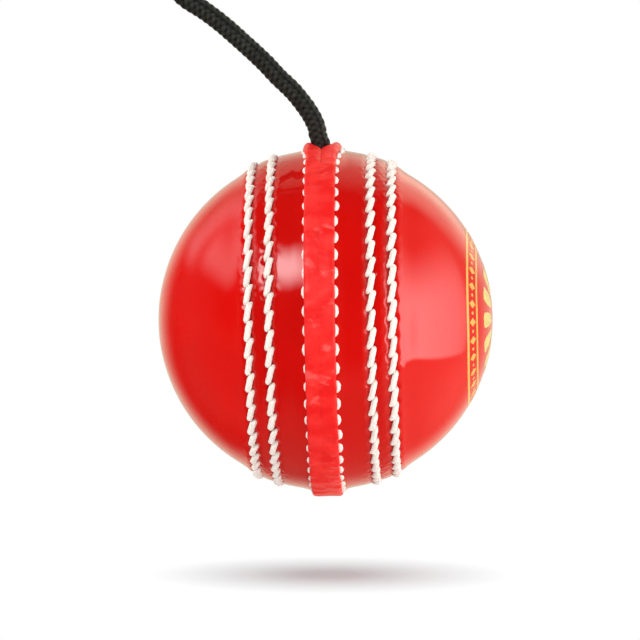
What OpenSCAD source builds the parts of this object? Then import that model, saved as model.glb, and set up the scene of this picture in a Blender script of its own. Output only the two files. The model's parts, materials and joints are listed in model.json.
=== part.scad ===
// Hanging cricket ball: a two-piece leather ball with a raised seam, hung on a braided cord.
// The origin is the point where the tied loop bears on its hook, +Z is up,
// and the seam lies in the YZ plane, so left and right are -X and +X.

/* [Ball] */
// Diameter over the leather covers
ball_d = 72; // [64:0.5:80]
// Thickness of the leather covers
cover_t = 3.6; // [2.6:0.1:5]

/* [Raised seam] */
// Width of the two welts side by side
seam_w = 6.4; // [6:0.1:9]
// Height of the welts above the covers
seam_h = 2; // [1.6:0.1:2.6]
// Thickness of the tongue that each welt sends down between the covers
tongue_t = 1.5; // [1:0.1:2]
// Gap of the crease between the two welts
crease_w = 0.3; // [0.2:0.05:0.5]
// Rounding of the welts' top edges
seam_round = 0.6; // [0.3:0.05:0.8]
// How far the lips at the cord stand out past the welts
lip_spread = 0.95; // [0.4:0.05:1.2]
// Length of the lips along the seam
lip_l = 15; // [11:0.5:18]
// Height of the bottom of the notch between the lips above the covers
notch_floor = 0.7; // [0.4:0.1:1.4]
// Angle between the two flanks of the notch
notch_angle = 110; // [80:5:130]

/* [Seam stitches] */
// Length of a stitch that shows beside the welts
seam_stitch_l = 3; // [2:0.1:3.4]
// Thickness of the seam thread
seam_stitch_d = 1.3; // [1:0.05:1.5]
// Distance from one seam stitch to the next
seam_stitch_pitch = 3.95; // [3.8:0.05:6]
// How far the seam stitches stand out from under the welts
seam_stitch_out = 1; // [0.8:0.05:1.2]

/* [Stitch rows] */
// Distance of the inner rows from the middle of the seam
inner_row_x = 10.4; // [9.2:0.1:10.6]
// Distance of the outer rows from the middle of the seam
outer_row_x = 14.7; // [14.5:0.1:18]
// Length of one slanted stitch
row_stitch_l = 4.6; // [4:0.1:5]
// Thickness of the row thread
row_stitch_d = 1.4; // [1:0.05:1.5]
// Distance from one row stitch to the next
row_stitch_pitch = 3.68; // [3.6:0.02:5]
// Slant of a stitch against its row, in degrees
row_stitch_slant = 14; // [12:0.5:16]
// How far the row stitches stand above the leather
row_stitch_proud = 0.8; // [0.5:0.05:1]
// Radius of the groove that the leather sinks to under a row
row_groove_r = 2; // [1.8:0.1:2.2]

/* [Core and windings] */
// Diameter of the cork and rubber core
core_d = 30; // [28:0.5:34]
// Thickness of the inner winding
inner_winding_t = 6; // [4:0.5:7]
// Thickness of the cork layer between the windings
cork_t = 4; // [2:0.5:5]

/* [Cord] */
// Diameter of the braided cord
cord_d = 4; // [3.4:0.1:4.4]
// Length of the cord's neck, from its bend at the loop to the bend below it
neck_l = 12; // [9:0.5:20]
// Height of the cord's bend at the ball above the welts' crest
exit_rise = 1.6; // [1.4:0.1:3]
// Diameter of the washer that the cord's end knot pulls against
washer_d = 15; // [13:0.5:17]
// Thickness of that washer
washer_t = 1.5; // [1:0.1:2.5]
// Depth of the pocket's shoulder under the middle of the core
pocket_drop = 0; // [0:0.5:1.5]

/* [Hang loop] */
// Clear width of the loop
eye_w = 13; // [11:0.5:18]
// Distance from the bearing point down to the middle of the loop's knot
eye_l = 28; // [26:0.5:40]
// Length of the tail that leaves the knot
tail_l = 9; // [6:0.5:14]

/* [Fits] */
// Gap between parts that turn or bend against each other
run_gap = 0.3; // [0.25:0.05:0.4]
// Gap between layers that lie on each other
layer_gap = 0.1; // [0.05:0.01:0.15]
// Gap all round the cord in its hole
bore_gap = 0.4; // [0.3:0.05:0.6]
// Gap between neighbouring turns of the loop's knot
turn_gap = 0.7; // [0.6:0.05:1]

/* [Hidden] */

$fn = 96;
red_gloss = "#c8140f";
red_matte = "#e0302c";
thread_white = "#f4efe4";
cord_black = "#1c1a18";
twine_buff = "#cdb389";
cork_brown = "#a5764a";
core_brown = "#5a3a28";
washer_grey = "#c9c9c4";

// The ball's layers, from the outside in
ball_r = ball_d / 2;
winding_r = ball_r - cover_t - layer_gap;
core_r = core_d / 2;
inner_winding_r = core_r + layer_gap + inner_winding_t;
cork_r = inner_winding_r + layer_gap + cork_t;
cord_r = cord_d / 2;
bore_r = cord_r + bore_gap;
seam_half = seam_w / 2;
cover_edge_x = crease_w / 2 + tongue_t + layer_gap;

// How far a cutting shape reaches past what it cuts
cut = 1;

// Bends of the cord: a round tip turns about its own middle, next to a flat end
tip_gap = cord_r + run_gap;
knot_z = -eye_l;
stub_z = knot_z - 2 * cord_d;
sway_z = stub_z - tip_gap;
swing_z = sway_z - neck_l;

// The cord's route from its bend at the ball up to its bend under the neck, from the ball's bend
cord_route = [
    [-0.9, 0, 2.1], [-2.3, 0, 4.6], [-4.3, 0, 7.3], [-6.5, 0, 10], [-9, 0, 12.6],
    [-12.5, 0, 16.4], [-16.5, 0, 20.3], [-20.5, 0, 24], [-24.5, 0, 27.2], [-28.2, 0, 29.8],
    [-31, 0, 32.6], [-33, 0, 36.5], [-33.4, 0, 41], [-32.2, 0, 46], [-29.6, 0, 51], [-26, 0, 56],
    [-21.8, 0, 61], [-17.2, 0, 66], [-12.4, 0, 71], [-7.8, 0, 76], [-4, 0, 81], [-1.4, 0, 86],
    [-0.2, 0, 91], [0, 0, 95]
];
route_top = cord_route[len(cord_route) - 1][2];
exit_z = swing_z - tip_gap - route_top;
ball_z = exit_z - exit_rise - seam_h - ball_r;

// The pocket under the core's shoulder, where the washer and the end knot turn
pocket_z = -pocket_drop;
washer_top = pocket_z - run_gap;
shank_end = washer_top - washer_t - layer_gap;

// Smooth curve through the points, with several steps between neighbours
function curve_step(a, b, c, d, t) =
    (2 * b + (c - a) * t
        + (2 * a - 5 * b + 4 * c - d) * t * t
        + (3 * b - a - 3 * c + d) * t * t * t) / 2;

function curve(points, steps) =
    let (n = len(points),
         before = 2 * points[0] - points[1],
         after = 2 * points[n - 1] - points[n - 2],
         all = concat([before], points, [after]))
    concat(
        [for (i = [1:n - 1], k = [0:steps - 1])
            curve_step(all[i - 1], all[i], all[i + 1], all[i + 2], k / steps)],
        [points[n - 1]]
    );

function unit(v) = v / norm(v);

function heading(path, i) =
    unit(path[min(i + 1, len(path) - 1)] - path[max(i - 1, 0)]);

// A side direction for each point, carried along the path without twisting
function carried(side, along) = unit(side - (side * along) * along);

function sides_along(path, first) = [
    for (i = 0, s = carried(first, heading(path, 0)); i < len(path);
         i = i + 1, s = carried(s, heading(path, min(i, len(path) - 1)))) s
];

// One unbroken tube along a path, closed by a flat face at each end
module tube(path, r, corners) {
    n = len(path);
    sides = sides_along(path, [0, 1, 0]);
    rings = [
        for (i = [0:n - 1], k = [0:corners - 1])
            let (across = cross(heading(path, i), sides[i]), angle = 360 * k / corners)
            path[i] + r * (cos(angle) * sides[i] + sin(angle) * across)
    ];
    walls = [
        for (i = [0:n - 2], k = [0:corners - 1], half = [0, 1])
            let (a = i * corners + k, b = i * corners + (k + 1) % corners)
            half == 0 ? [a, a + corners, b] : [b, a + corners, b + corners]
    ];
    caps = [
        [for (k = [0:corners - 1]) k],
        [for (k = [corners - 1:-1:0]) (n - 1) * corners + k]
    ];
    polyhedron(points = rings, faces = concat(walls, caps), convexity = 10);
}

// The tied loop: the standing cord goes up through the knot, round the eye and back down beside itself,
// then winds about itself and the standing cord in an overhand knot, and leaves as a short tail
knot_twist_r = cord_r + turn_gap / 2;
knot_stretch = 1.1;
knot_twist_h = knot_stretch * knot_twist_r;
knot_inner_r = cord_d + turn_gap;
knot_ring_r = knot_inner_r + knot_twist_r;
knot_lead = 1.75 * cord_d;
knot_spread = 0.7 * turn_gap;
// The turns of the knot's formula at which the cord comes in and goes out, and the way that it faces
knot_first = 60;
knot_last = 330;
knot_facing = 35;
throat_z = knot_z + knot_lead;
eye_half = eye_w / 2 + cord_r;
// The widest place of the eye's outline, which the formula reaches at a turn of 120 degrees
eye_widest = sin(120) * pow(sin(60), 2);

function ease(t) = t <= 0 ? 0 : t >= 1 ? 1 : t * t * (3 - 2 * t);

function eye_point(t) = [
    knot_inner_r * ease((t - 180) / 180) - eye_half / eye_widest * sin(t) * pow(sin(t / 2), 2),
    0,
    throat_z + (cord_r - throat_z) * (1 - cos(t)) / 2
];

function round_axis(r, angle, z) = [r * cos(angle), r * sin(angle), z];

function knot_point(t) =
    round_axis(knot_ring_r + knot_twist_r * cos(3 * t),
               2 * (t - knot_first) + knot_facing,
               knot_z + knot_twist_h * sin(3 * t));

knot_end = knot_point(knot_last);
knot_out = unit(knot_end - knot_point(knot_last - 5));
tail_middle = 0.45 * tail_l;
tail_droop = 0.3 * tail_l;

loop_points = concat(
    [[0, 0, stub_z], [0, 0, (stub_z + knot_z) / 2], [0, 0, knot_z], [0, 0, knot_z + knot_lead / 2]],
    [[0, 0, throat_z]],
    [for (t = [70:20:290]) eye_point(t)],
    [round_axis(knot_inner_r + knot_spread, 0, throat_z)],
    [round_axis(knot_inner_r + knot_spread / 2, knot_facing / 3, knot_z + knot_lead / 2)],
    [for (t = [knot_first:10:knot_last]) knot_point(t)],
    [knot_end + tail_middle * knot_out + [0, 0, -tail_droop / 6]],
    [knot_end + tail_l * knot_out + [0, 0, -tail_droop]]
);
loop_path = curve(loop_points, 2);

// Least gap between stretches of the loop that aren't neighbours along it, measured on finer points
fine_path = curve(loop_points, 4);
neighbours = 12;
loop_gap = min([
    for (i = [0:len(fine_path) - 1 - neighbours], j = [i + neighbours:len(fine_path) - 1])
        norm(fine_path[i] - fine_path[j])
]) - cord_d;
echo(least_gap_in_the_tied_loop = loop_gap);

module hang_loop() {
    color(cord_black) tube(loop_path, cord_r, 8);
}

// A straight length of cord with a round tip at its top, and at its foot where asked
module cord_length(length, round_foot) {
    rotate_extrude() {
        intersection() {
            union() {
                translate([0, -length]) square([cord_r, length]);
                circle(r = cord_r);
                if (round_foot) translate([0, -length]) circle(r = cord_r);
            }
            translate([0, -length - cord_d]) square([cord_d, length + 2 * cord_d]);
        }
    }
}

module cord_neck() {
    color(cord_black) translate([0, 0, sway_z]) cord_length(neck_l, true);
}

module cord_run() {
    color(cord_black) translate([0, 0, exit_z]) tube(curve(cord_route, 2), cord_r, 10);
}

module cord_shank() {
    color(cord_black) translate([0, 0, exit_z]) cord_length(exit_z - ball_z - shank_end, false);
}

module in_ball() {
    translate([0, 0, ball_z]) children();
}

module anchor_washer() {
    color(washer_grey) in_ball() translate([0, 0, washer_top - washer_t])
        difference() {
            cylinder(d = washer_d, h = washer_t);
            translate([0, 0, -cut]) cylinder(r = cord_r + layer_gap, h = washer_t + 2 * cut);
        }
}

// The stopper knot at the cord's end: a barrel of two turns pulled tight on each other
module anchor_knot() {
    squeeze = 0.9;
    turn_rise = squeeze * cord_d;
    turn_r = (1 + squeeze) / 2 * cord_d;
    color(cord_black) in_ball() translate([0, 0, shank_end])
        rotate_extrude() {
            translate([0, -turn_rise - cord_d]) square([turn_r, turn_rise + cord_d]);
            for (turn = [0, 1]) translate([turn_r, -cord_r - turn * turn_rise]) circle(r = cord_r);
        }
}

// The hole for the cord, from the middle of the ball up through the lips
module cord_hole() {
    cylinder(r = bore_r, h = ball_r + 2 * seam_h);
}

module layer(outer_r, inner_r) {
    difference() {
        sphere(r = outer_r);
        sphere(r = inner_r);
        cord_hole();
    }
}

module core() {
    color(core_brown) in_ball() difference() {
        sphere(r = core_r);
        translate([0, 0, pocket_z - cut]) cylinder(r = bore_r, h = core_r - pocket_z + 2 * cut);
        translate([0, 0, -core_r - cut])
            cylinder(d = washer_d + 2 * run_gap, h = core_r + cut + pocket_z);
    }
}

module inner_winding() {
    color(twine_buff) in_ball() layer(inner_winding_r, core_r + layer_gap);
}

module cork_layer() {
    color(cork_brown) in_ball() layer(cork_r, inner_winding_r + layer_gap);
}

module outer_winding() {
    color(twine_buff) in_ball() layer(winding_r, cork_r + layer_gap);
}

// Turns a profile about the X axis: its radius is the profile's x, its place along X the profile's y
module round_seam() {
    rotate([0, 90, 0]) rotate_extrude() children();
}

// Row grooves and stitches share the angle at which a row lies from the seam
function row_angle(row_x) = asin(row_x / ball_r);

groove_depth = row_stitch_d - row_stitch_proud + layer_gap;

module cover_profile() {
    groove_far = ball_r - groove_depth + row_groove_r;
    difference() {
        intersection() {
            circle(r = ball_r);
            translate([0, cover_edge_x]) square([ball_d, ball_d]);
        }
        circle(r = ball_r - cover_t);
        for (row_x = [inner_row_x, outer_row_x])
            rotate(row_angle(row_x)) translate([groove_far, 0]) circle(r = row_groove_r);
    }
}

module cover() {
    in_ball() difference() {
        round_seam() cover_profile();
        cord_hole();
    }
}

module right_cover() {
    color(red_gloss) cover();
}

module left_cover() {
    color(red_gloss) mirror([1, 0, 0]) cover();
}

// A stitch is a spindle of this many bands, whose flat ends have this share of its thickness
stitch_bands = 8;
stitch_end = 0.12;

// Where the seam stitches lie: half under the welt's edge, on the leather
seam_stitch_x = seam_half + seam_stitch_out - seam_stitch_d / 2;

function on_leather(x) = sqrt(pow(ball_r, 2) - pow(x, 2));

function seam_stitch_r(x) = on_leather(x) + layer_gap + seam_stitch_d / 2;

// Section of one welt: the tongue between the covers and the flange that lies on them,
// with rounded top edges and a hollow along its foot for the stitches
module welt_profile() {
    near = crease_w / 2;
    foot = ball_r + layer_gap;
    shoulder = ball_r + seam_h - seam_round;
    difference() {
        union() {
            translate([winding_r + layer_gap, near]) square([foot - winding_r, tongue_t]);
            translate([foot, near]) square([shoulder - foot, seam_half - near]);
            translate([shoulder, near + seam_round])
                square([seam_round, seam_half - near - 2 * seam_round]);
            for (edge = [near + seam_round, seam_half - seam_round])
                translate([shoulder, edge]) circle(r = seam_round);
        }
        translate([seam_stitch_r(seam_stitch_x), seam_stitch_x])
            circle(r = seam_stitch_d / 2 + layer_gap);
    }
}

// A spindle along Y: a round middle that narrows to small flat ends
module spindle(length, thick) {
    rotate([90, 0, 0]) rotate_extrude() polygon(concat(
        [[0, -length / 2]],
        [for (k = [0:stitch_bands])
            let (t = 2 * k / stitch_bands - 1)
            [thick / 2 * (1 - (1 - stitch_end) * t * t), length / 2 * t]],
        [[0, length / 2]]
    ));
}

// The lip is the swelling of a welt where the cord pushes the two apart: its outer edge is an arc
// that fades into the welt, and its underside is clear of the leather
lip_arc_r = (pow(lip_l / 2, 2) + pow(lip_spread, 2)) / (2 * lip_spread);
lip_foot = run_gap;

module lip() {
    intersection() {
        difference() {
            sphere(r = ball_r + seam_h - layer_gap / 2);
            sphere(r = ball_r + lip_foot);
        }
        translate([seam_half + lip_spread - lip_arc_r, 0, 0]) cylinder(r = lip_arc_r, h = ball_d);
        translate([seam_half / 2, -ball_r, 0]) cube(ball_d);
    }
}

// The notch runs straight along Y, so it fades where the round seam drops below it
module notch() {
    depth = 2 * seam_h;
    half_w = depth * tan(notch_angle / 2);
    translate([0, ball_r / 2, ball_r + notch_floor]) rotate([90, 0, 0])
        linear_extrude(height = ball_r)
            polygon([[0, 0], [half_w, depth], [-half_w, depth]]);
}

module welt() {
    in_ball() difference() {
        union() {
            round_seam() welt_profile();
            lip();
        }
        notch();
        cord_hole();
    }
}

module right_welt() {
    color(red_matte) welt();
}

module left_welt() {
    color(red_matte) mirror([1, 0, 0]) welt();
}

// Stitches that fit round a circle at this distance from one to the next
function stitches_round(r, pitch) = floor(180 / asin(pitch / 2 / r));

// The seam stitches step aside round the lips, a little further along the seam than the lips reach
seam_stitch_count = stitches_round(seam_stitch_r(seam_stitch_x), seam_stitch_pitch);
lip_ease = 1.25;
lip_reach = lip_ease * asin(lip_l / 2 / ball_r);
lip_step = lip_spread + seam_stitch_d - seam_stitch_out + layer_gap;

function lip_bulge(angle) = max(0, 1 - pow(angle / lip_reach, 2));

module seam_stitches() {
    in_ball() for (i = [0:seam_stitch_count - 1]) {
        angle = (i + 0.5) * 360 / seam_stitch_count - 180;
        x = seam_stitch_x + lip_step * lip_bulge(angle);
        rotate([angle, 0, 0]) translate([x, 0, seam_stitch_r(x)])
            spindle(seam_stitch_l, seam_stitch_d);
    }
}

module right_seam_stitches() {
    color(thread_white) seam_stitches();
}

module left_seam_stitches() {
    color(thread_white) mirror([1, 0, 0]) seam_stitches();
}

// One row of slanted stitches; every row slants the same way round the ball
module stitch_row(row_x) {
    stitch_r = ball_r + row_stitch_proud - row_stitch_d / 2;
    count = stitches_round(on_leather(row_x), row_stitch_pitch);
    in_ball() for (i = [0:count - 1])
        rotate([i * 360 / count, 0, 0]) rotate([0, row_angle(row_x), 0]) translate([0, 0, stitch_r])
            rotate([0, 0, -row_stitch_slant]) spindle(row_stitch_l, row_stitch_d);
}

module left_inner_stitches() {
    color(thread_white) stitch_row(-inner_row_x);
}

module left_outer_stitches() {
    color(thread_white) stitch_row(-outer_row_x);
}

module right_inner_stitches() {
    color(thread_white) stitch_row(inner_row_x);
}

module right_outer_stitches() {
    color(thread_white) stitch_row(outer_row_x);
}

hang_loop();
cord_neck();
cord_run();
cord_shank();
anchor_washer();
anchor_knot();
core();
inner_winding();
cork_layer();
outer_winding();
left_cover();
right_cover();
left_welt();
right_welt();
left_seam_stitches();
right_seam_stitches();
left_inner_stitches();
left_outer_stitches();
right_inner_stitches();
right_outer_stitches();
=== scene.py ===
import json
import math

import bmesh
import bpy
import numpy as np
from bpy.props import FloatProperty, FloatVectorProperty, IntProperty, PointerProperty
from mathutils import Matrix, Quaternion, Vector


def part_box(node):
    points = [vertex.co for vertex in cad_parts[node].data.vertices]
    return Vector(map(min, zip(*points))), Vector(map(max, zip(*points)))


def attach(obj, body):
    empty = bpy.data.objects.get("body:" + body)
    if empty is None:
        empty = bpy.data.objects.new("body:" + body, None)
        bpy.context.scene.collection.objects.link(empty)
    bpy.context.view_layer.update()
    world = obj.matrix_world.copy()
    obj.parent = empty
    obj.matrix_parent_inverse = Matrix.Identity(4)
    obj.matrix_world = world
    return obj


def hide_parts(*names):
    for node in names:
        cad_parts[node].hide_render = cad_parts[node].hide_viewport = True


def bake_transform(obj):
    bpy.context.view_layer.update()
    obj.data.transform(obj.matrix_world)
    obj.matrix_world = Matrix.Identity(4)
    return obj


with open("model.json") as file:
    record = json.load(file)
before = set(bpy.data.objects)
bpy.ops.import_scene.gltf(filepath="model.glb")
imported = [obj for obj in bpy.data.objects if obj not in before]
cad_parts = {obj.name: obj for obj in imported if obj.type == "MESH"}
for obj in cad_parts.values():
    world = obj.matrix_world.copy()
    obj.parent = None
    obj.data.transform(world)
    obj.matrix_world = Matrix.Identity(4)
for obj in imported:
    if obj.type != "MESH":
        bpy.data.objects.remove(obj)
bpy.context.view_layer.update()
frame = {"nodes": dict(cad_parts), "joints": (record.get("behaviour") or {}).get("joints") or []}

bl_info = {
    "name": "Hanging cricket ball",
    "version": (1, 0, 0),
    "blender": (4, 5, 0),
    "location": "3D View > Sidebar > Hanging ball",
    "description": "Dresses the packed ball in leather, thread and braided cord",
    "category": "Add Mesh",
}

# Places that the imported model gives
JOINTS = {joint["name"]: Vector(joint["pos_m"]) for joint in frame["joints"]}
CENTRE = JOINTS["spin"]
MIDDLE = np.array(CENTRE)
EXIT = JOINTS["nod"]
SWING = JOINTS["swing"]
SWAY = JOINTS["sway"]
LEATHER_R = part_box("right_cover")[1].x
CREST_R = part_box("right_welt")[1].y
WINDING_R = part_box("outer_winding")[1].x
WASHER_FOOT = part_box("anchor_washer")[0].z


def length(name, description, default):
    return FloatProperty(name=name, description=description, default=default, unit="LENGTH", precision=5)


def angle(name, description, degrees):
    return FloatProperty(name=name, description=description, default=math.radians(degrees), unit="ROTATION")


def colour(name, description, default):
    return FloatVectorProperty(name=name, description=description, default=default, subtype="COLOR",
                               size=3, min=0.0, max=1.0)


def whole(name, description, default):
    return IntProperty(name=name, description=description, default=default, min=1)


def member(name, description, group):
    return PointerProperty(name=name, description=description, type=group)


class BallSizes(bpy.types.PropertyGroup):
    """Sizes of the leather covers"""
    radius: length("Radius", "Radius over the leather, away from the seam", LEATHER_R)
    thickness: length("Thickness", "Thickness of the leather", LEATHER_R - WINDING_R)
    edge: length("Edge", "Distance of the covers' edges from the middle of the seam", 0.00175)
    belt_lift: length("Belt lift", "How far the stitched belt stands above the round", 0.0007)
    belt_reach: length("Belt reach", "Distance from the seam at which the belt ends", 0.0165)
    row_dip: length("Row dip", "How far the leather sinks under a row of stitches", 0.0004)
    hole_dip: length("Hole dip", "How far the leather sinks at the end of a stitch", 0.00026)


class SeamSizes(bpy.types.PropertyGroup):
    """Sizes of the raised seam and the stitches beside it"""
    width: length("Width", "Width of both welts side by side", 0.0064)
    tongue: length("Tongue", "Thickness of the tongue of a welt between the covers", 0.0015)
    rounding: length("Rounding", "Rounding of the welts' top edges", 0.0006)
    crease: length("Crease", "Half of the gap between the welts", 0.000005)
    wrinkle: length("Wrinkle", "Height of the wrinkles across the welts", 0.00011)
    lip_spread: length("Lip spread", "How far the lips stand out past the welts", 0.00095)
    lip_length: length("Lip length", "Length of the lips along the seam", 0.026)
    lip_lift: length("Lip lift", "How far the lips' crests rise above the seam", 0.0003)
    notch_floor: length("Notch floor", "Height of the notch's floor above the leather", 0.0003)
    notch_angle: angle("Notch angle", "Angle between the flanks of the notch", 108)
    stitch_length: length("Stitch length", "Length of a stitch that shows beside the welt", 0.0029)
    stitch_thickness: length("Stitch thickness", "Thickness of the seam thread", 0.0013)
    stitch_reach: length("Stitch reach", "How far the stitches stand out from under the welt", 0.001)
    stitch_count: whole("Stitch count", "Stitches on one side of the seam", 58)


class RowSizes(bpy.types.PropertyGroup):
    """Sizes of the slanted rows of stitches"""
    inner: length("Inner row", "Distance of the inner rows from the middle of the seam", 0.0104)
    outer: length("Outer row", "Distance of the outer rows from the middle of the seam", 0.0147)
    stitch_length: length("Stitch length", "Length of one slanted stitch", 0.0045)
    stitch_width: length("Stitch width", "Width of one slanted stitch", 0.00135)
    stitch_proud: length("Stitch proud", "Height of a stitch above the round leather", 0.00135)
    slant: angle("Slant", "Slant of a stitch against its row", 20)
    inner_count: whole("Inner count", "Stitches in an inner row", 58)
    outer_count: whole("Outer count", "Stitches in an outer row", 56)


class CordSizes(bpy.types.PropertyGroup):
    """Sizes of the braided cord and of the loop tied in it"""
    diameter: length("Diameter", "Diameter over the braid", 0.004)
    strands: whole("Strands", "Strands that wind each way", 5)
    plait: length("Plait", "Distance from one plait to the next along the cord", 0.0014)
    relief: length("Relief", "Depth of the valleys between the plaits", 0.00036)
    eye_width: length("Eye width", "Clear width of the tied loop", 0.013)
    eye_length: length("Eye length", "Distance from the bearing point to the knot's middle", 0.028)
    tail: length("Tail", "Length of the tail that leaves the knot", 0.009)
    turn_gap: length("Turn gap", "Gap between neighbouring turns of the knot", 0.0007)


class PrintSizes(bpy.types.PropertyGroup):
    """Sizes of the gold print round the right-hand pole"""
    outer_ring: length("Outer ring", "Radius of the outer ring", 0.0190)
    inner_ring: length("Inner ring", "Radius of the inner ring", 0.0155)
    line: length("Line", "Width of the rings' lines", 0.0007)
    foil: length("Foil", "Height of the foil above the leather", 0.00004)
    motif_count: whole("Motif count", "Lozenges between the rings", 28)
    bar_count: whole("Bar count", "Bars of the rosette", 12)


class Finish(bpy.types.PropertyGroup):
    """Colours of the finishes"""
    leather: colour("Leather", "Polished cover leather", (0.72, 0.0030, 0.0014))
    leather_deep: colour("Deep leather", "Darker patches of the cover leather", (0.65, 0.0020, 0.0009))
    welt: colour("Welt", "Matte leather of the raised seam", (0.94, 0.030, 0.025))
    welt_deep: colour("Deep welt", "Darker patches of the welt leather", (0.84, 0.005, 0.004))
    # Pale flecks painted on the welt as glints: painted highlights
    welt_glint: colour("Welt scuffs", "Pale scuffs on the welt leather", (0.95, 0.095, 0.085))
    thread: colour("Thread", "Waxed stitching thread", (0.94, 0.86, 0.78))
    cord: colour("Cord", "Strands of the braided cord", (0.032, 0.035, 0.023))
    # Painted shade for the valleys of the braid
    cord_valley_shade: colour("Deep cord", "Valleys of the braid", (0.0005, 0.0006, 0.0004))
    gold: colour("Gold", "Gold of the rings", (0.93, 0.47, 0.08))
    yellow: colour("Yellow", "Paler gold of the rosette", (0.86, 0.66, 0.16))
    twine: colour("Twine", "Wound twine", (0.62, 0.48, 0.29))
    cork: colour("Cork", "Pressed cork", (0.42, 0.24, 0.11))
    compound: colour("Compound", "Cork and rubber core", (0.13, 0.07, 0.04))
    nylon: colour("Nylon", "Washer", (0.62, 0.62, 0.58))


class StageSettings(bpy.types.PropertyGroup):
    """Camera, light and floor"""
    azimuth: angle("Azimuth", "Turn of the camera round the ball", 2.0)
    elevation: angle("Elevation", "Height of the camera over the horizon", 3.5)
    roll: angle("Roll", "Roll of the camera", -1.0)
    distance: length("Distance", "Distance of the camera from the ball", 0.8)
    view_width: length("View width", "Width of the picture at the ball", 0.138)
    aim_right: length("Aim right", "How far the camera aims to the right of the ball", -0.0012)
    aim_up: length("Aim up", "How far the camera aims above the ball", -0.0001)
    floor_drop: length("Floor drop", "Distance from the middle of the ball down to the floor", 0.0553)
    shadow_reach: length("Shadow reach", "Radius at which the floor has faded to plain white", 0.042)


class HangingBall(bpy.types.PropertyGroup):
    """All sizes and colours of the hanging ball"""
    ball: member("Ball", "Sizes of the leather covers", BallSizes)
    seam: member("Seam", "Sizes of the raised seam", SeamSizes)
    rows: member("Rows", "Sizes of the rows of stitches", RowSizes)
    cord: member("Cord", "Sizes of the braided cord", CordSizes)
    print: member("Print", "Sizes of the gold print", PrintSizes)
    finish: member("Finish", "Colours of the finishes", Finish)
    stage: member("Stage", "Camera, light and floor", StageSettings)


def settings():
    return bpy.context.scene.hanging_ball


# Meshes

SMOOTH_ANGLE = math.radians(50)


def new_object(name, points, faces):
    """A smooth mesh object with its faces turned outward."""
    mesh = bpy.data.meshes.new(name)
    mesh.from_pydata(points, [], faces)
    work = bmesh.new()
    work.from_mesh(mesh)
    bmesh.ops.recalc_face_normals(work, faces=work.faces)
    work.to_mesh(mesh)
    work.free()
    mesh.polygons.foreach_set("use_smooth", np.ones(len(mesh.polygons), dtype=bool))
    mesh.set_sharp_from_angle(angle=SMOOTH_ANGLE)
    made = bpy.data.objects.new(name, mesh)
    bpy.context.scene.collection.objects.link(made)
    return made


def tubes_object(name, tubes, values=None):
    """Closed tubes in one mesh: tubes[i, j, k] is point k on ring j of tube i. values holds a number for each
    point, which the finish reads as the attribute tone."""
    count, rings, sides, _ = tubes.shape
    ends = tubes[:, [0, -1]].mean(axis=2)
    points = np.concatenate([tubes.reshape(count, -1, 3), ends], axis=1)
    spot = np.arange(rings * sides).reshape(rings, sides)
    beside = np.roll(spot, -1, axis=1)
    walls = np.stack([spot[:-1], beside[:-1], beside[1:], spot[1:]], axis=-1).reshape(-1, 4)
    foot = np.stack([np.full(sides, rings * sides), beside[0], spot[0]], axis=-1)
    head = np.stack([np.full(sides, rings * sides + 1), spot[-1], beside[-1]], axis=-1)
    faces = []
    for shift in np.arange(count) * points.shape[1]:
        faces += (walls + shift).tolist() + (foot + shift).tolist() + (head + shift).tolist()
    made = new_object(name, points.reshape(-1, 3).tolist(), faces)
    if values is not None:
        tone = np.concatenate([values.reshape(count, -1), values[:, [0, -1]].mean(axis=2)], axis=1)
        layer = made.data.attributes.new("tone", "FLOAT", "POINT")
        layer.data.foreach_set("value", tone.astype(np.float32).ravel())
    return made


def hoop_object(name, grid):
    """A closed band: its rows and its columns both meet their own beginning."""
    rows, columns, _ = grid.shape
    spot = np.arange(rows * columns).reshape(rows, columns)
    below, beside = np.roll(spot, -1, axis=0), np.roll(spot, -1, axis=1)
    faces = np.stack([spot, beside, np.roll(below, -1, axis=1), below], axis=-1).reshape(-1, 4)
    return new_object(name, grid.reshape(-1, 3).tolist(), faces.tolist())


def full_turn(count, start=0.0):
    """Evenly spaced angles once round."""
    return np.linspace(start, start + 2 * math.pi, count, endpoint=False)


def round_seam(x, radius, turn):
    """Points at a distance x from the seam's plane, a radius from the X axis, and a turn from the top to the
    front."""
    return np.stack(np.broadcast_arrays(x, -radius * np.sin(turn), radius * np.cos(turn)), axis=-1) + MIDDLE


def ease(t):
    t = np.clip(t, 0.0, 1.0)
    return t * t * (3 - 2 * t)


def unit(v):
    return v / np.linalg.norm(v, axis=-1, keepdims=True)


class Ripples:
    """Gentle random waves over a round band, the same in each run."""

    def __init__(self, seed, count, slowest, fastest, across):
        rng = np.random.default_rng(seed)
        self.around = rng.integers(slowest, fastest, count)
        self.across = rng.uniform(-across, across, count)
        self.phase = rng.uniform(0, 2 * math.pi, count)
        self.height = rng.uniform(0.4, 1.0, count)
        self.height /= np.sqrt((self.height ** 2).sum() / 2)

    def __call__(self, x, turn):
        waves = zip(self.around, self.across, self.phase, self.height)
        return sum(h * np.cos(k * turn + m * x + p) for k, m, p, h in waves)


# Finishes

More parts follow.
